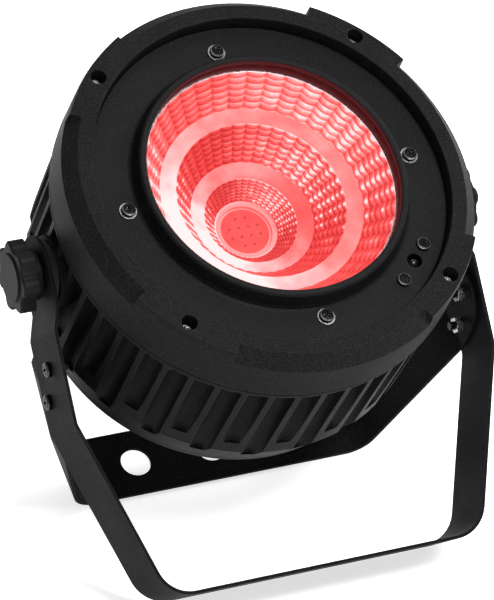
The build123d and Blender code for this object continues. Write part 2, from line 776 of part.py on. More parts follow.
def bent_edges(line, radii):
    """Straight runs joined by tangent arcs."""
    edges = []
    start = Vector(*line[0])
    for i in range(1, len(line) - 1):
        corner = Vector(*line[i])
        back = (Vector(*line[i - 1]) - corner).normalized()
        ahead = (Vector(*line[i + 1]) - corner).normalized()
        half = math.acos(max(-1.0, min(1.0, back.dot(ahead)))) / 2
        reach = radii[i - 1] / math.tan(half)
        p = corner + back * reach
        q = corner + ahead * reach
        middle = (back + ahead).normalized()
        to_arc = radii[i - 1] / math.sin(half) - radii[i - 1]
        m = corner + middle * to_arc
        edges.append(Line((start.X, start.Y), (p.X, p.Y)))
        edges.append(ThreePointArc((p.X, p.Y), (m.X, m.Y), (q.X, q.Y)))
        start = q
    edges.append(Line((start.X, start.Y), line[-1]))
    return edges


def bent_strap(half_line, radii):
    """Bent flat strap from the outer line of its +X half, mirrored across X = 0.

    Local X runs along the tilt axis and local Y down the arm.
    """
    line = half_line + [(0.0, half_line[-1][1])]
    inner_line = shifted(line, STRAP_T)
    outer_radii = []
    inner_radii = []
    for i, r in enumerate(radii):
        toward = bend_side(line, i + 1)
        outer_radii.append(r if toward > 0 else r - STRAP_T)
        inner_radii.append(r - STRAP_T if toward > 0 else r)
    edges = bent_edges(line, outer_radii) + bent_edges(inner_line, inner_radii)
    edges.append(Line(line[0], inner_line[0]))
    edges.append(Line(line[-1], inner_line[-1]))
    half = extrude(make_face(edges), STRAP_W / 2, both=True)
    return half + mirror(half, Plane.YZ)


def strap_envelope(length, start=0.0):
    """Side view of a strap: round end centred on y = start, square at the far end."""
    shape = Pos(start, 0) * Circle(STRAP_W / 2)
    shape += Pos(start + length / 2, 0) * Rectangle(length, STRAP_W)
    plane = Plane(origin=(-200, 0, 0), x_dir=(0, 1, 0), z_dir=(1, 0, 0))
    return extrude(plane * shape, 400)


def cross_hole(radius, along, across, inner_x, outer_x):
    """Hole through both arms of a strap, at a place in its side view."""
    group = []
    for side in (-1, 1):
        mid = side * (inner_x + outer_x) / 2
        tool = Pos(mid, along, across) * Rot(0, 90, 0) * Cylinder(radius, outer_x - inner_x)
        group.append(tool)
    return group


SCREW2_ALONG = REAR_PIVOT + SCREW_PITCH * math.cos(math.radians(SCREW_TURN))
SCREW2_ACROSS = SCREW_PITCH * math.sin(math.radians(SCREW_TURN))
BETWEEN = FRONT_LEAN + REAR_LEAN


def front_location():
    return Pos(0, PIVOT_Y, PIVOT_HEIGHT) * Rot(-90 - FRONT_LEAN, 0, 0)


def rear_location():
    a = math.radians(FRONT_LEAN)
    y = PIVOT_Y - REAR_PIVOT * math.sin(a)
    z = PIVOT_HEIGHT - REAR_PIVOT * math.cos(a)
    return Pos(0, y, z) * Rot(-90 + REAR_LEAN, 0, 0)


def front_bracket():
    half = [(PIVOT_FACE_X, -30.0), (PIVOT_FACE_X, JOGGLE_START), (STEP_FACE_X, JOGGLE_END),
            (STEP_FACE_X, TAPER_START), (FRONT_HALF, FRONT_LENGTH)]
    body = bent_strap(half, [4.0, 4.0, 10.0, FRONT_BEND_R])
    body = body & strap_envelope(FRONT_LENGTH + 20)
    body -= cross_hole(STUD_R + 0.3, 0, 0, 96, 112)
    body -= cross_hole(CLEAR_R, REAR_PIVOT, 0, 98, 112)
    body -= cross_hole(CLEAR_R, SCREW2_ALONG, SCREW2_ACROSS, 98, 112)
    return front_location() * body


def rear_bracket():
    face_x = STEP_FACE_X - STRAP_T
    half = [(face_x, -30.0), (face_x, REAR_BEND), (REAR_HALF, REAR_LENGTH)]
    body = bent_strap(half, [8.0, REAR_BEND_R])
    body = body & strap_envelope(REAR_LENGTH + 20, REAR_END_SHIFT)
    body -= cross_hole(CLEAR_R, 0, 0, 98, 112)
    turn = math.radians(BETWEEN - SCREW_TURN)
    body -= cross_hole(CLEAR_R, SCREW_PITCH * math.cos(turn), -SCREW_PITCH * math.sin(turn), 98, 112)
    for k in (-1, 0, 1):
        tool = Pos(k * CLAMP_PITCH, REAR_LENGTH, 0) * Rot(90, 0, 0) * Cylinder(CLAMP_HOLE_R, 10)
        body -= tool
    return rear_location() * body


def joint_spots():
    return ((REAR_PIVOT, 0.0), (SCREW2_ALONG, SCREW2_ACROSS))


def bracket_screws():
    one = pan_screw(3.6, 2.2, 2.0, 9.0)
    group = []
    for side in (-1, 1):
        turn = Rot(0, 90, 0) if side > 0 else Rot(0, -90, 0)
        for along, across in joint_spots():
            place = Pos(side * STEP_FACE_X, along, across) * turn
            group.append(front_location() * place * one)
    return Compound(children=group)


def bracket_nuts():
    group = []
    for side in (-1, 1):
        for along, across in joint_spots():
            x = side * (STEP_FACE_X - 2 * STRAP_T) - (side + 1) / 2 * NUT_THICK
            place = Pos(x, along, across) * Rot(0, 90, 0)
            group.append(front_location() * place * hex_nut())
    return Compound(children=group)


# ---------------------------------------------------------------- write the nodes
HEAD_NODES = {
    "front_ring": front_ring,
    "ring_screws": ring_screws,
    "bezel_plate": bezel_plate,
    "bezel_screws": bezel_screws,
    "bezel_washers": bezel_washers,
    "glass_window": glass_window,
    "glass_gasket": glass_gasket,
    "housing_seal": housing_seal,
    "sensor_board": sensor_board,
    "ir_sensor": ir_sensor,
    "sensor_screws": sensor_screws,
    "housing": housing,
    "reflector": reflector,
    "led_dome": led_dome,
    "led_chips": led_chips,
    "led_base": led_base,
    "led_holder": led_holder,
    "heat_spreader": heat_spreader,
    "holder_screws": holder_screws,
    "spreader_screws": spreader_screws,
    "power_board": power_board,
    "board_screws": board_screws,
    "power_parts": power_parts,
    "control_board": control_board,
    "control_screws": control_screws,
    "button_switches": button_switches,
    "display_module": display_module,
    "display_window": display_window,
    "rear_panel": rear_panel,
    "panel_screws": panel_screws,
    "connector_screws": connector_screws,
    "dmx_in": dmx_in,
    "dmx_in_core": dmx_in_core,
    "dmx_in_pins": dmx_in_pins,
    "dmx_out": dmx_out,
    "dmx_out_core": dmx_out_core,
    "dmx_latch": dmx_latch,
    "power_inlet": power_inlet,
    "inlet_pins": inlet_pins,
    "fuse_holder": fuse_holder,
    "fuse_cap": fuse_cap,
    "fuse_link": fuse_link,
    "safety_eye": safety_eye,
    "eye_nuts": eye_nuts,
}

for node, maker in HEAD_NODES.items():
    put_head(node, maker())

for name, x in zip(BUTTON_NAMES, BUTTON_X):
    put_head(name, menu_button(x))

for word, side in (("left", -1), ("right", 1)):
    put_head("friction_washer_" + word, friction_washer(side))
    put_head("knob_" + word, knob(side))
    put_head("knob_stud_" + word, knob_stud(side))
    put_head("knob_washer_" + word, knob_washer(side))

put("front_bracket", front_bracket())
put("rear_bracket", rear_bracket())
put("bracket_screws", bracket_screws())
put("bracket_nuts", bracket_nuts())
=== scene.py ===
import json
import math
import bpy
from mathutils import Matrix, Vector


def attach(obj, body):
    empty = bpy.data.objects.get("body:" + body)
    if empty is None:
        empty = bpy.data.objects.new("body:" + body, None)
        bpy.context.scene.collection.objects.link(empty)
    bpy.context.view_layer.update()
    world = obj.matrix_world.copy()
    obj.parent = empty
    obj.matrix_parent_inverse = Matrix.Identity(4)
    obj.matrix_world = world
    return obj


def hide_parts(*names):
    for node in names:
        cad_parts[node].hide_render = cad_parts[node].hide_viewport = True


# A par can lamp on its two bent straps: black powder-coated castings round a lit,
# faceted reflector. Metres. The row frame has +Z up and -Y on the lit side.

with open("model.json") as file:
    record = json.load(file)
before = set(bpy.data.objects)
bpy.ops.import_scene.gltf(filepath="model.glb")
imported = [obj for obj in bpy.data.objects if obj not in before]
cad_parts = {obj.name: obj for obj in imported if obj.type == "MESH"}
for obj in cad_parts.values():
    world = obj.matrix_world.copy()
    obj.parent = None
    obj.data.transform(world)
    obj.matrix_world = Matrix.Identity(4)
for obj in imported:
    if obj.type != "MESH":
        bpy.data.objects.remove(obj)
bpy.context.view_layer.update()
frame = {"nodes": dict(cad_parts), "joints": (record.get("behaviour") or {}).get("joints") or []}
NODES = frame["nodes"]
SCENE = bpy.context.scene

# ---------------------------------------------------------------- places from the frame
JOINTS = {joint["name"]: joint for joint in frame["joints"]}
PIVOT = Vector(JOINTS["head_tilt"]["pos_m"])
BEAM = Vector(JOINTS["button_menu_press"]["axis"]).normalized()
SIDE = Vector(JOINTS["head_tilt"]["axis"]).normalized()


def head_frame():
    """Matrix of the lamp head's own frame: tilt axis along X, beam along Z."""
    up = BEAM.cross(SIDE)
    turn = Matrix((SIDE, up, BEAM)).transposed().to_4x4()
    return Matrix.Translation(PIVOT) @ turn


HEAD = head_frame()
TO_HEAD = HEAD.inverted()


def head_span(node):
    """Lowest and highest corner of a CAD node in the head's frame."""
    points = [TO_HEAD @ vertex.co for vertex in NODES[node].data.vertices]
    low = Vector([min(p[i] for p in points) for i in range(3)])
    high = Vector([max(p[i] for p in points) for i in range(3)])
    return low, high


FACE_Z = head_span("front_ring")[1].z      # plane of the four lugs
MM = 0.001
BORE_R = 0.0604            # bore of the bezel collar
BORE_BLEND = 0.0005
DISC_RIM = (0.01165, 0.0120)   # where the lit disc turns pale


# ---------------------------------------------------------------- node materials
class Shader:
    """A material made of nodes, with short names for the usual ones."""

    def __init__(self, name):
        self.material = bpy.data.materials.new(name)
        self.material.use_nodes = True
        self.tree = self.material.node_tree
        self.tree.nodes.clear()
        self.out = self.tree.nodes.new("ShaderNodeOutputMaterial")

    def add(self, kind, settings=None, **sockets):
        node = self.tree.nodes.new(kind)
        for key, value in (settings or {}).items():
            setattr(node, key, value)
        for key, value in sockets.items():
            self.feed(node.inputs[key.replace("_", " ")], value)
        return node

    def feed(self, socket, value):
        if isinstance(value, bpy.types.NodeSocket):
            self.tree.links.new(value, socket)
        else:
            socket.default_value = value

    def math(self, operation, *values):
        node = self.tree.nodes.new("ShaderNodeMath")
        node.operation = operation
        for socket, value in zip(node.inputs, values):
            self.feed(socket, value)
        return node.outputs[0]

    def place(self):
        return self.add("ShaderNodeTexCoord").outputs["Object"]

    def noise(self, scale, detail=2.0, vector=None):
        node = self.add("ShaderNodeTexNoise", Scale=scale, Detail=detail,
                        Vector=vector or self.place())
        return node.outputs["Fac"]

    def ramp(self, factor, stops):
        node = self.add("ShaderNodeValToRGB", Fac=factor)
        bar = node.color_ramp
        while len(bar.elements) < len(stops):
            bar.elements.new(0.5)
        for element, (position, colour) in zip(bar.elements, stops):
            element.position = position
            element.color = (*colour, 1.0)
        return node.outputs["Color"]

    def grey(self, factor, low, high, start=0.0, end=1.0):
        node = self.add("ShaderNodeMapRange", Value=factor)
        node.inputs["From Min"].default_value = start
        node.inputs["From Max"].default_value = end
        node.inputs["To Min"].default_value = low
        node.inputs["To Max"].default_value = high
        return node.outputs["Result"]

    def mix(self, factor, first, second):
        node = self.add("ShaderNodeMix", {"data_type": "RGBA"})
        self.feed(node.inputs["Factor"], factor)
        self.feed(node.inputs[6], first)
        self.feed(node.inputs[7], second)
        return node.outputs[2]

    def bump(self, height, distance, strength=1.0, normal=None):
        node = self.add("ShaderNodeBump", Height=height, Distance=distance, Strength=strength)
        if normal is not None:
            self.feed(node.inputs["Normal"], normal)
        return node.outputs["Normal"]

    def soft_edges(self, radius):
        return self.add("ShaderNodeBevel", {"samples": 6}, Radius=radius).outputs["Normal"]

    def edge_amount(self, radius, low=0.02, high=0.25):
        """0 on flat faces, rising to 1 along sharp edges."""
        facing = self.add("ShaderNodeNewGeometry").outputs["Normal"]
        round_normal = self.add("ShaderNodeBevel", {"samples": 8}, Radius=radius).outputs["Normal"]
        dot = self.add("ShaderNodeVectorMath", {"operation": "DOT_PRODUCT"})
        self.feed(dot.inputs[0], facing)
        self.feed(dot.inputs[1], round_normal)
        bend = self.math("SUBTRACT", 1.0, dot.outputs["Value"])
        return self.grey(bend, 0.0, 1.0, low, high)

    def beam_place(self):
        """Distance from the optical axis and azimuth round it, in the head's frame."""
        moved = self.add("ShaderNodeVectorMath", {"operation": "SUBTRACT"})
        self.feed(moved.inputs[0], self.place())
        self.feed(moved.inputs[1], tuple(PIVOT))
        parts = []
        for axis in (SIDE, BEAM.cross(SIDE)):
            dot = self.add("ShaderNodeVectorMath", {"operation": "DOT_PRODUCT"})
            self.feed(dot.inputs[0], moved.outputs[0])
            self.feed(dot.inputs[1], tuple(axis))
            parts.append(dot.outputs["Value"])
        square = self.math("MULTIPLY_ADD", parts[0], parts[0],
                           self.math("MULTIPLY", parts[1], parts[1]))
        return self.math("SQRT", square), self.math("ARCTAN2", parts[1], parts[0])

    def principled(self, **sockets):
        node = self.add("ShaderNodeBsdfPrincipled", None, **sockets)
        self.tree.links.new(node.outputs[0], self.out.inputs["Surface"])
        return node


def rgb(red, green, blue):
    return (red, green, blue, 1.0)


def powder_coat(name, tone, grain=1300.0, roughness=0.5, edge=0.0005, specular=0.035):
    """Satin black powder coat: fine grain, slight patches, and a painted highlight along its edges.
    """
    s = Shader(name)
    fine = s.noise(grain, 2.0)
    patch = s.noise(26.0, 4.0)
    speck = s.noise(grain * 1.4, 1.0)
    dark = tuple(c * 0.75 for c in tone)
    light = tuple(c * 3.2 for c in tone)
    colour = s.ramp(patch, [(0.3, dark), (0.7, tone)])
    colour = s.mix(s.grey(speck, 0.0, 0.9, 0.52, 0.72), colour, rgb(*light))
    # Painted highlight: a paler colour along the edges, where the rounded normal turns from the face.
    colour = s.mix(s.edge_amount(edge * 0.7), colour, rgb(0.05, 0.05, 0.05))
    gloss = s.grey(patch, roughness - 0.06, roughness + 0.07, 0.3, 0.7)
    gloss = s.math("ADD", gloss, s.grey(fine, -0.06, 0.06, 0.3, 0.7))
    normal = s.bump(fine, 0.00012, 0.7, s.soft_edges(edge))
    s.principled(Base_Color=colour, Roughness=gloss, Normal=normal, Specular_IOR_Level=specular)
    return s.material


def bezel_coat(name, tone):
    """The same coat on the bezel, its bore faintly red from the light inside."""
    s = Shader(name)
    fine = s.noise(1300.0, 2.0)
    patch = s.noise(26.0, 4.0)
    dark = tuple(c * 0.7 for c in tone)
    colour = s.ramp(patch, [(0.3, dark), (0.7, tone)])
    speck = s.noise(1800.0, 1.0)
    colour = s.mix(s.grey(speck, 0.0, 0.9, 0.52, 0.72), colour, rgb(*(c * 3.0 for c in tone)))
    radius, angle = s.beam_place()
    bore = s.grey(radius, 1.0, 0.0, BORE_R, BORE_R + BORE_BLEND)
    far = s.math("MULTIPLY_ADD", s.math("COSINE", s.math("SUBTRACT", angle, math.radians(50.0))),
                 0.5, 0.5)
    glow = s.math("MULTIPLY", bore, s.math("POWER", far, 1.5))
    normal = s.bump(fine, 0.00012, 0.7, s.soft_edges(0.0004))
    s.principled(Base_Color=colour, Roughness=s.grey(fine, 0.42, 0.54, 0.3, 0.7), Normal=normal,
                 Specular_IOR_Level=0.08, Emission_Strength=1.0,
                 Emission_Color=s.mix(glow, rgb(0.0, 0.0, 0.0), rgb(0.07, 0.002, 0.003)))
    return s.material


def moulded_plastic(name, tone, roughness=0.45, grain=2600.0, specular=0.4):
    """Moulded plastic with a spark-eroded texture."""
    s = Shader(name)
    fine = s.noise(grain, 2.0)
    broad = s.noise(60.0, 3.0)
    dark = tuple(c * 0.75 for c in tone)
    light = tuple(min(1.0, c * 1.25) for c in tone)
    colour = s.ramp(broad, [(0.3, dark), (0.7, light)])
    gloss = s.grey(fine, roughness - 0.07, roughness + 0.07, 0.3, 0.7)
    normal = s.bump(fine, 0.00005, 0.5, s.soft_edges(0.0004))
    s.principled(Base_Color=colour, Roughness=gloss, Normal=normal, Specular_IOR_Level=specular)
    return s.material


def plated_metal(name, tone, roughness=0.28, scratch=900.0):
    """Plated or bare metal with fine scratches and slight tarnish."""
    s = Shader(name)
    fine = s.noise(scratch, 4.0)
    broad = s.noise(140.0, 3.0)
    dull = tuple(c * 0.7 for c in tone)
    colour = s.ramp(broad, [(0.35, dull), (0.65, tone)])
    gloss = s.grey(fine, roughness - 0.08, roughness + 0.12, 0.3, 0.7)
    normal = s.bump(fine, 0.00002, 0.4, s.soft_edges(0.00025))
    s.principled(Base_Color=colour, Roughness=gloss, Metallic=1.0, Normal=normal)
    return s.material


def screw_with_rim_highlight(name, tone, rim, axis):
    """Dark plated screw: flats stay dark, with a painted highlight on the rounded rim of the head and
    along its sharp edges.
    """
    s = Shader(name)
    fine = s.noise(900.0, 3.0)
    turn = s.add("ShaderNodeVectorMath", {"operation": "DOT_PRODUCT"})
    s.feed(turn.inputs[0], s.add("ShaderNodeTexCoord").outputs["Normal"])
    s.feed(turn.inputs[1], tuple(axis))
    # Painted highlight: the rim colour goes where the surface turns away from the head's axis and
    # along sharp edges.
    facing = s.math("ABSOLUTE", turn.outputs["Value"])
    inner = s.grey(facing, 1.0, 0.0, 0.76, 0.90)
    rim_highlight_mask = s.math("MULTIPLY", s.grey(facing, 0.0, 1.0, 0.35, 0.5), inner)
    edge = s.math("MAXIMUM", rim_highlight_mask, s.edge_amount(0.0001, 0.03, 0.22))
    face = s.ramp(fine, [(0.35, tuple(c * 0.6 for c in tone)), (0.65, tone)])
    colour = s.mix(edge, face, rgb(*rim))
    normal = s.bump(fine, 0.00002, 0.4, s.soft_edges(0.00025))
    s.principled(Base_Color=colour, Roughness=s.grey(fine, 0.24, 0.4), Metallic=0.9, Normal=normal,
                 Specular_IOR_Level=0.2)
    return s.material


def rubber(name, tone):
    s = Shader(name)
    fine = s.noise(1200.0, 3.0)
    colour = s.ramp(fine, [(0.3, tuple(c * 0.7 for c in tone)), (0.7, tone)])
    normal = s.bump(fine, 0.00005, 0.6)
    s.principled(Base_Color=colour, Roughness=s.grey(fine, 0.62, 0.8), Normal=normal)
    return s.material


def lacquered_board(name):
    s = Shader(name)
    tracks = s.add("ShaderNodeTexBrick", Scale=160.0, Vector=s.place(),
                   Color1=rgb(0.02, 0.16, 0.06), Color2=rgb(0.03, 0.22, 0.09),
                   Mortar=rgb(0.01, 0.09, 0.03))
    patch = s.noise(90.0, 2.0)
    s.principled(Base_Color=tracks.outputs["Color"], Roughness=s.grey(patch, 0.25, 0.45))
    return s.material


def clear_glass(name):
    """Flat clear window: see-through, with the surface's own reflection and faint dust."""
    s = Shader(name)
    dust = s.noise(300.0, 4.0)
    through = s.add("ShaderNodeBsdfTransparent", Color=rgb(0.97, 0.97, 0.97))
    shine = s.add("ShaderNodeBsdfGlossy", Color=rgb(1.0, 1.0, 1.0))
    s.feed(shine.inputs["Roughness"], s.grey(dust, 0.02, 0.06))
    facing = s.add("ShaderNodeFresnel", IOR=1.38)
    amount = s.math("MULTIPLY", facing.outputs[0], s.grey(dust, 0.5, 0.7))
    both = s.add("ShaderNodeMixShader")
    s.feed(both.inputs[0], amount)
    s.feed(both.inputs[1], through.outputs[0])
    s.feed(both.inputs[2], shine.outputs[0])
    s.feed(s.out.inputs["Surface"], both.outputs[0])
    return s.material


# ---------------------------------------------------------------- the lit reflector
def azimuth_wave(s, place, centre, sharp):
    """1 toward one azimuth of the head, in degrees, falling to 0 on the other side."""
    parts = s.add("ShaderNodeSeparateXYZ", Vector=place)
    angle = s.math("ARCTAN2", parts.outputs["Y"], parts.outputs["X"])
    turned = s.math("SUBTRACT", angle, math.radians(centre))
    lobe = s.math("MULTIPLY_ADD", s.math("COSINE", turned), 0.5, 0.5)
    return s.math("POWER", lobe, sharp)


def lit_facets(name, low, mid, high, shade):
    """Metallised pillow facets: painted red light from the chip, graded by place within each facet
    and round the head, with painted shade in the creases between facets and painted white highlights.
    """
    s = Shader(name)
    place = s.place()
    cells = s.add("ShaderNodeUVMap", {"uv_map": "cells"}).outputs["UV"]
    parts = s.add("ShaderNodeSeparateXYZ", Vector=cells)
    u = s.math("FRACT", parts.outputs["X"])
    v = s.math("FRACT", parts.outputs["Y"])
    whole = s.add("ShaderNodeVectorMath", {"operation": "FLOOR"})
    s.feed(whole.inputs[0], cells)
    luck = s.add("ShaderNodeTexWhiteNoise", Vector=whole.outputs[0]).outputs["Value"]
    wobble = s.noise(700.0, 3.0, place)
    across = s.math("MULTIPLY", s.math("ABSOLUTE", s.math("SUBTRACT", u, 0.5)), 2.0)
    sag = s.math("MULTIPLY", s.math("POWER", across, 2.0), 0.34)
    down = s.math("FRACT", s.math("ADD", v, sag))
    down = s.math("ADD", down, s.grey(wobble, -0.12, 0.12, 0.3, 0.7))
    # Painted light and shade in each facet: bright at its top, darker toward its foot, across it, and
    # at its two sides.
    cell_light = s.grey(down, 1.0, 0.0, 0.12, 0.92)
    crease_shade = s.grey(across, 0.0, 0.20, 0.70, 1.0)
    # Painted light by azimuth round the head: paler toward one side, painted white highlights toward
    # two others, brighter on the left.
    pale = azimuth_wave(s, place, 44.0, 2.6)
    sparkle_highlight = azimuth_wave(s, place, -2.0, 9.0)
    left = azimuth_wave(s, place, 176.0, 12.0)
    sparkle_highlight = s.math("ADD", sparkle_highlight, s.math("MULTIPLY", left, 1.4))
    level = s.math("MULTIPLY_ADD", cell_light, 0.50, 0.12)
    level = s.math("SUBTRACT", level, s.math("MULTIPLY", u, 0.14))
    # Painted highlight along the upper edge of each tier.
    level = s.math("ADD", level, s.grey(parts.outputs["Y"], 0.35, 0.0, 0.0, 0.2))
    # Painted shade toward two other sides of the head.
    level = s.math("SUBTRACT", level, s.math("MULTIPLY", azimuth_wave(s, place, -62.0, 4.0), 0.26))
    level = s.math("SUBTRACT", level, s.math("MULTIPLY", azimuth_wave(s, place, 118.0, 4.0), shade))
    level = s.math("ADD", level, s.math("MULTIPLY", pale, 0.46))
    level = s.math("ADD", level, s.grey(luck, -0.13, 0.10))
    level = s.math("SUBTRACT", level, crease_shade)
    # Painted white highlight in the middle of each facet, strongest where the highlights by azimuth
    # fall.
    lean = s.math("MULTIPLY_ADD", s.math("SUBTRACT", v, 0.42), 0.5, across)
    highlight_spot = s.math("SUBTRACT", 1.0, s.math("MULTIPLY", lean, 2.3))
    highlight_spot = s.math("MULTIPLY", highlight_spot, s.grey(s.math("ABSOLUTE", s.math("SUBTRACT", v, 0.42)),
                                           1.0, 0.0, 0.0, 0.40))
    highlight_spot = s.math("MULTIPLY", s.math("MAXIMUM", highlight_spot, 0.0), s.math("MULTIPLY", sparkle_highlight, 1.5))
    highlight_spot = s.math("MULTIPLY", highlight_spot, s.grey(luck, 0.3, 1.0))
    level = s.math("SUBTRACT", level, s.math("MULTIPLY", sparkle_highlight, 0.12))
    level = s.math("ADD", level, s.math("MULTIPLY", left, 0.50))
    level = s.math("ADD", level, highlight_spot)
    glow = s.ramp(level, [(0.0, low), (0.45, mid), (0.8, high), (1.0, (1.0, 0.86, 0.86))])
    s.principled(Base_Color=rgb(0.30, 0.02, 0.02), Roughness=s.grey(wobble, 0.22, 0.4),
                 Metallic=0.6, Emission_Color=glow, Emission_Strength=1.0,
                 Normal=s.bump(wobble, 0.00015, 0.5))
    return s.material


def lit_ledge(name, low, mid, high):
    """Smooth metallised ledge between two tiers: painted red light from the chip, with a painted
    reflection of it brightest toward the near side.
    """
    s = Shader(name)
    place = s.place()
    # Painted reflection of the chip, brightest toward one side of the head; the cloud noise varies
    # the painted light.
    near = azimuth_wave(s, place, -154.0, 1.8)
    cloud = s.noise(90.0, 3.0, place)
    fine = s.noise(900.0, 2.0, place)
    level = s.math("MULTIPLY_ADD", near, 0.88, 0.24)
    level = s.math("ADD", level, s.grey(cloud, -0.16, 0.16, 0.3, 0.7))
    level = s.math("ADD", level, s.grey(fine, -0.02, 0.02))
    glow = s.ramp(level, [(0.0, low), (0.35, mid), (0.75, high), (1.0, (1.0, 0.92, 0.92))])
    s.principled(Base_Color=rgb(0.35, 0.05, 0.05), Roughness=0.35, Metallic=0.5,
                 Emission_Color=glow, Emission_Strength=1.0)
    return s.material


def lit_disc(name):
    """Red-lit silicone over the chips, a little paler at its rim."""
    s = Shader(name)
    cloud = s.noise(160.0, 2.0)
    glow = s.ramp(cloud, [(0.3, (0.84, 0.065, 0.065)), (0.7, (0.90, 0.095, 0.09))])
    radius, _ = s.beam_place()
    rim = s.grey(radius, 0.0, 1.0, *DISC_RIM)
    glow = s.mix(rim, glow, rgb(1.0, 0.42, 0.41))
    s.principled(Base_Color=rgb(0.2, 0.01, 0.01), Roughness=0.45, Emission_Color=glow,
                 Emission_Strength=1.0, Specular_IOR_Level=0.2)
    return s.material


def red_lit(name, tone, glow):
    """Plain moulding standing in the red light."""
    s = Shader(name)
    cloud = s.noise(220.0, 3.0)
    weak = tuple(c * 0.8 for c in glow)
    s.principled(Base_Color=rgb(*tone), Roughness=s.grey(cloud, 0.5, 0.65),
                 Emission_Color=s.ramp(cloud, [(0.3, weak), (0.7, glow)]),
                 Emission_Strength=1.0, Specular_IOR_Level=0.2)
    return s.material


def dark_red(name):
    """Chip seen through the glowing silicone."""
    s = Shader(name)
    cloud = s.noise(500.0, 2.0)
    glow = s.ramp(cloud, [(0.3, (0.36, 0.008, 0.008)), (0.7, (0.44, 0.014, 0.012))])
    s.principled(Base_Color=rgb(0.2, 0.01, 0.01), Roughness=0.4, Emission_Color=glow,
                 Emission_Strength=1.0)
    return s.material


# ---------------------------------------------------------------- mesh pieces
def mesh_piece(name, points, faces, place=None):
    mesh = bpy.data.meshes.new(name)
    mesh.from_pydata(points, [], faces)
    mesh.validate()
    mesh.update()
    piece = bpy.data.objects.new(name, mesh)
    SCENE.collection.objects.link(piece)
    if place is not None:
        piece.matrix_world = place
    return piece


class Tier:
    """One stretch of the reflector from its outer to its inner edge, in millimetres."""

    def __init__(self, outer, inner, columns=0, rows=1, bulge=0.0):
        self.outer = outer
        self.inner = inner
        self.columns = columns
        self.rows = rows
        self.bulge = bulge


REFLECTOR = [
    Tier((59.6, 6.1), (48.6, 21.1), 40, 6, 0.55),
    Tier((48.6, 21.1), (40.8, 21.8)),
    Tier((40.8, 21.8), (29.6, 37.9), 40, 7, 0.50),
    Tier((29.6, 37.9), (22.4, 40.7)),
    Tier((22.4, 40.7), (15.2, 49.4), 40, 7, 0.28),
    Tier((15.2, 49.4), (14.4, 50.2)),
]
COLUMNS = 40
STEPS_ACROSS = 4
STEPS_DOWN = 4
SHELL = 1.1


def pillow(u, v):
    """Height of a pillow facet, 0 on its four sides and 1 in the middle."""
    return (1 - (2 * u - 1) ** 2) * (1 - (2 * v - 1) ** 2)


def reflector_lines():
    """Rows of the grid from the glass down: radius, depth, inward normal, v, bulge, tier."""
    lines = []
    for number, tier in enumerate(REFLECTOR):
        (r0, d0), (r1, d1) = tier.outer, tier.inner
        length = math.hypot(r1 - r0, d1 - d0)
        normal = ((d0 - d1) / length, (r1 - r0) / length)
        steps = tier.rows * STEPS_DOWN if tier.columns else 3
        first = 0 if number == 0 else 1
        for i in range(first, steps + 1):
            t = i / steps
            lines.append((r0 + (r1 - r0) * t, d0 + (d1 - d0) * t, normal,
                          t * tier.rows, tier.bulge, number))
    return lines


def reflector():
    """Closed shell: the faceted inside, then a plain outside."""
    lines = reflector_lines()
    count = COLUMNS * STEPS_ACROSS
    inside = len(lines)
    back = [(r + SHELL, d + 0.4) for r, d, *_ in lines[::-1]]
    back[-1] = (lines[0][0] + 2.6, lines[0][1])
    total = inside + len(back)
    points = []
    for k in range(count):
        angle = 2 * math.pi * k / count
        u = (k % STEPS_ACROSS) / STEPS_ACROSS
        for r, d, (nr, nd), v, bulge, _ in lines:
            lift = bulge * pillow(u, v % 1.0)
            radius = (r + nr * lift) * MM
            z = FACE_Z - (d + nd * lift) * MM
            points.append((radius * math.cos(angle), radius * math.sin(angle), z))
        for r, d in back:
            points.append((r * MM * math.cos(angle), r * MM * math.sin(angle), FACE_Z - d * MM))
    faces = []
    kinds = []
    cells = []
    for k in range(count):
        a = k * total
        b = ((k + 1) % count) * total
        u0 = k / STEPS_ACROSS
        u1 = (k + 1) / STEPS_ACROSS
        for i in range(total):
            j = (i + 1) % total
            faces.append((a + i, b + i, b + j, a + j))
            if j < inside and j > i:
                tier = lines[j][5]
                kinds.append(tier)
                v1 = lines[j][3]
                v0 = v1 - (1 / STEPS_DOWN if REFLECTOR[tier].columns else 1 / 3)
            else:
                kinds.append(len(REFLECTOR))
                v0, v1 = 0.0, 1.0
            cells.append(((u0, v0), (u1, v0), (u1, v1), (u0, v1)))
    piece = mesh_piece("reflector_faceted", points, faces, HEAD)
    layer = piece.data.uv_layers.new(name="cells")
    squeeze = 0.001
    for polygon, corners in zip(piece.data.polygons, cells):
        middle = Vector((sum(c[0] for c in corners) / 4, sum(c[1] for c in corners) / 4))
        for loop, corner in zip(polygon.loop_indices, corners):
            layer.data[loop].uv = Vector(corner).lerp(middle, squeeze)
    for polygon, kind in zip(piece.data.polygons, kinds):
        polygon.material_index = kind
    return piece


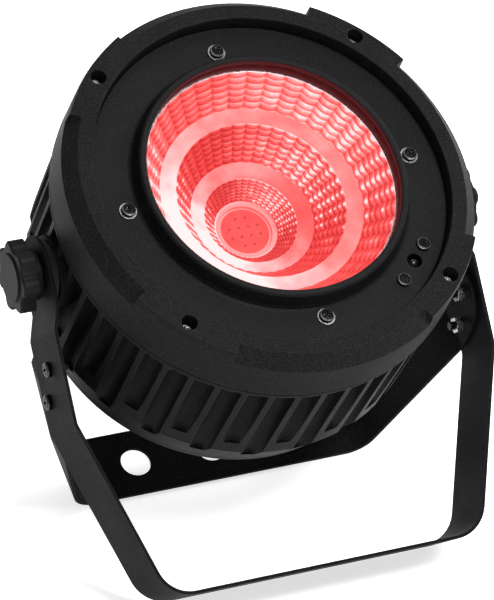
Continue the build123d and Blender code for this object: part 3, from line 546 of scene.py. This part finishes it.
def finish_reflector(piece):
    red = [
        lit_facets("facets_outer", (0.55, 0.02, 0.02), (0.92, 0.13, 0.125), (1.0, 0.42, 0.41), 0.14),
        lit_ledge("ledge_outer", (0.75, 0.05, 0.05), (1.0, 0.22, 0.21), (1.0, 0.55, 0.55)),
        lit_facets("facets_middle", (0.45, 0.01, 0.012), (0.85, 0.09, 0.09), (1.0, 0.33, 0.32), 0.36),
        lit_ledge("ledge_middle", (0.70, 0.03, 0.035), (0.96, 0.13, 0.125), (1.0, 0.44, 0.44)),
        lit_facets("facets_inner", (0.35, 0.01, 0.012), (0.80, 0.08, 0.08), (1.0, 0.30, 0.29), 0.30),
        lit_ledge("ledge_inner", (0.8, 0.10, 0.10), (1.0, 0.35, 0.34), (1.0, 0.7, 0.7)),
        plated_metal("reflector_back", (0.7, 0.7, 0.72)),
    ]
    for material in red:
        piece.data.materials.append(material)
    for polygon in piece.data.polygons:
        polygon.use_smooth = True
    piece.data.set_sharp_from_angle(angle=math.radians(14))
    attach(piece, "head")
    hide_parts("reflector")


DIE_SPOTS = [(-2.4, 7.2), (2.4, 7.2), (-7.2, 2.4), (-2.4, 2.4), (2.4, 2.4), (7.2, 2.4),
             (-7.2, -2.4), (-2.4, -2.4), (2.4, -2.4), (7.2, -2.4), (-2.4, -7.2), (2.4, -7.2)]


PIP_SIDES = 14
PIP_RINGS = ((0.00002, 0.72), (0.00012, 0.62))    # height in metres, radius in millimetres


def chip_spots():
    """The dies as they show through the silicone: low round pips on the lit disc."""
    top = head_span("led_dome")[1].z
    sides = PIP_SIDES
    points = []
    faces = []
    for x, y in DIE_SPOTS:
        start = len(points)
        for height, radius in PIP_RINGS:
            for k in range(sides):
                a = 2 * math.pi * k / sides
                points.append(((x + radius * math.cos(a)) * MM, (y + radius * math.sin(a)) * MM,
                               top + height))
        for k in range(sides):
            n = (k + 1) % sides
            faces.append((start + k, start + n, start + sides + n, start + sides + k))
        faces.append(tuple(start + sides + k for k in range(sides)))
        faces.append(tuple(start + k for k in reversed(range(sides))))
    piece = mesh_piece("led_die_spots", points, faces, HEAD)
    piece.data.materials.append(dark_red("chip_glow"))
    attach(piece, "head")
    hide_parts("led_chips")


# ---------------------------------------------------------------- materials on the CAD nodes
def paint(material, *names):
    for name in names:
        mesh = NODES[name].data
        mesh.materials.clear()
        mesh.materials.append(material)


def paint_all():
    casting = powder_coat("casting_coat", (0.0085, 0.0085, 0.0090))
    paint(casting, "front_ring", "housing")
    paint(bezel_coat("bezel_coat", (0.0060, 0.0060, 0.0064)), "bezel_plate")
    strap = powder_coat("strap_coat", (0.0070, 0.0070, 0.0074), roughness=0.48, specular=0.02)
    paint(strap, "front_bracket", "rear_bracket")
    paint(powder_coat("panel_coat", (0.014, 0.014, 0.015)), "rear_panel")
    zinc = plated_metal("zinc_screw", (0.42, 0.42, 0.41), 0.3)
    paint(zinc, "safety_eye", "dmx_latch")
    paint(plated_metal("washer_zinc", (0.34, 0.34, 0.33), 0.3), "bezel_washers")
    dark = (0.008, 0.008, 0.009)
    # The third value for each screw is the colour of its painted rim highlight.
    paint(screw_with_rim_highlight("dark_screw", dark, (0.55, 0.55, 0.54), BEAM), "bezel_screws",
          "sensor_screws")
    paint(screw_with_rim_highlight("black_screw", (0.012, 0.012, 0.013), (0.07, 0.07, 0.07), SIDE),
          "bracket_screws", "knob_washer_left", "knob_washer_right")
    paint(plated_metal("bright_nut", (0.62, 0.62, 0.60), 0.25), "bracket_nuts", "ring_screws")
    steel = plated_metal("plain_steel", (0.45, 0.45, 0.44), 0.33)
    paint(steel, "holder_screws", "spreader_screws", "board_screws", "control_screws",
          "panel_screws", "connector_screws", "eye_nuts", "knob_stud_left", "knob_stud_right")
    knob = moulded_plastic("knob_nylon", (0.010, 0.010, 0.0105), 0.46, specular=0.05)
    paint(knob, "knob_left", "knob_right")
    paint(rubber("friction_rubber", (0.018, 0.018, 0.018)), "friction_washer_left",
          "friction_washer_right")
    paint(rubber("seal_rubber", (0.02, 0.02, 0.02)), "housing_seal")
    paint(red_lit("lit_gasket", (0.05, 0.02, 0.02), (0.07, 0.004, 0.006)), "glass_gasket")
    paint(clear_glass("window_glass"), "glass_window", "fuse_link")
    paint(lit_disc("lit_silicone"), "led_dome")
    paint(red_lit("lit_ceramic", (0.5, 0.25, 0.25), (0.62, 0.09, 0.09)), "led_base", "led_holder")
    paint(plated_metal("bare_aluminium", (0.75, 0.75, 0.76), 0.35), "heat_spreader")
    paint(lacquered_board("circuit_board"), "power_board", "control_board", "sensor_board")
    paint(moulded_plastic("grey_parts", (0.12, 0.12, 0.13)), "power_parts",
          "button_switches", "display_module")
    paint(moulded_plastic("sensor_resin", (0.006, 0.004, 0.004), 0.12), "ir_sensor")
    paint(moulded_plastic("display_tint", (0.02, 0.008, 0.008), 0.1), "display_window")
    paint(moulded_plastic("button_grey", (0.16, 0.16, 0.165)), "button_menu", "button_down",
          "button_up", "button_enter")
    paint(moulded_plastic("socket_black", (0.02, 0.02, 0.021)), "dmx_in", "dmx_in_core",
          "dmx_out", "dmx_out_core", "power_inlet", "fuse_holder", "fuse_cap")
    paint(plated_metal("contact_metal", (0.65, 0.5, 0.25), 0.25), "dmx_in_pins", "inlet_pins")


# ---------------------------------------------------------------- camera, lights and floor
CAMERA_AIM = Vector((-0.00282, -0.01212, 0.11187))
CAMERA_AZIMUTH = -26.0145     # degrees round from looking along +Y
CAMERA_HEIGHT = 29.0353       # degrees above the horizon
CAMERA_ROLL = 2.9321          # degrees
CAMERA_DISTANCE = 2.0101
CAMERA_LENS = 258.44          # millimetres on the 36 mm long side


WORLD_LIGHT = 0.34
FLOOR_GLOW = 0.66
FLOOR_HALF = 6.0
FLOOR_TOP = -0.0004           # a hair below the straps


def camera():
    """A long lens from in front, left of the beam and above."""
    around = math.radians(CAMERA_AZIMUTH)
    above = math.radians(CAMERA_HEIGHT)
    back = Vector((math.sin(around) * math.cos(above), -math.cos(around) * math.cos(above),
                   math.sin(above)))
    level = (-back).cross(Vector((0, 0, 1))).normalized()
    up = level.cross(-back)
    roll = math.radians(CAMERA_ROLL)
    right = level * math.cos(roll) + up * math.sin(roll)
    data = bpy.data.cameras.new("camera")
    data.lens = CAMERA_LENS
    data.clip_end = 20.0
    made = bpy.data.objects.new("camera", data)
    turn = Matrix((right, back.cross(right), back)).transposed().to_4x4()
    made.matrix_world = Matrix.Translation(CAMERA_AIM + back * CAMERA_DISTANCE) @ turn
    SCENE.collection.objects.link(made)
    SCENE.camera = made


def softbox(name, place, target, size, power):
    data = bpy.data.lights.new(name, "AREA")
    data.shape = "RECTANGLE"
    data.size = size[0]
    data.size_y = size[1]
    data.energy = power
    made = bpy.data.objects.new(name, data)
    toward = Vector(target) - Vector(place)
    made.matrix_world = (Matrix.Translation(place)
                         @ toward.to_track_quat("-Z", "Y").to_matrix().to_4x4())
    SCENE.collection.objects.link(made)


def studio():
    world = bpy.data.worlds.new("studio")
    world.use_nodes = True
    background = world.node_tree.nodes["Background"]
    background.inputs["Color"].default_value = rgb(1.0, 1.0, 1.0)
    background.inputs["Strength"].default_value = WORLD_LIGHT
    SCENE.world = world
    softbox("key", (0.35, -1.0, 1.7), PIVOT, (0.7, 0.7), 36.0)
    softbox("rim", (1.5, 0.5, 0.85), PIVOT, (0.7, 1.1), 18.0)
    softbox("top", (0.3, 0.6, 1.9), PIVOT, (1.0, 1.0), 6.0)


def floor():
    s = Shader("floor_paper")
    grain = s.noise(40.0, 3.0)
    colour = s.ramp(grain, [(0.3, (0.90, 0.90, 0.90)), (0.7, (0.93, 0.93, 0.93))])
    s.principled(Base_Color=colour, Roughness=0.9, Specular_IOR_Level=0.1,
                 Emission_Color=rgb(1.0, 1.0, 1.0), Emission_Strength=FLOOR_GLOW)
    half = FLOOR_HALF
    points = [(-half, -half, FLOOR_TOP), (half, -half, FLOOR_TOP), (half, half, FLOOR_TOP),
              (-half, half, FLOOR_TOP)]
    plane = mesh_piece("floor", points, [(0, 1, 2, 3)])
    plane.data.materials.append(s.material)


SCENE.view_settings.view_transform = "Standard"
paint_all()
finish_reflector(reflector())
chip_spots()
camera()
studio()
floor()
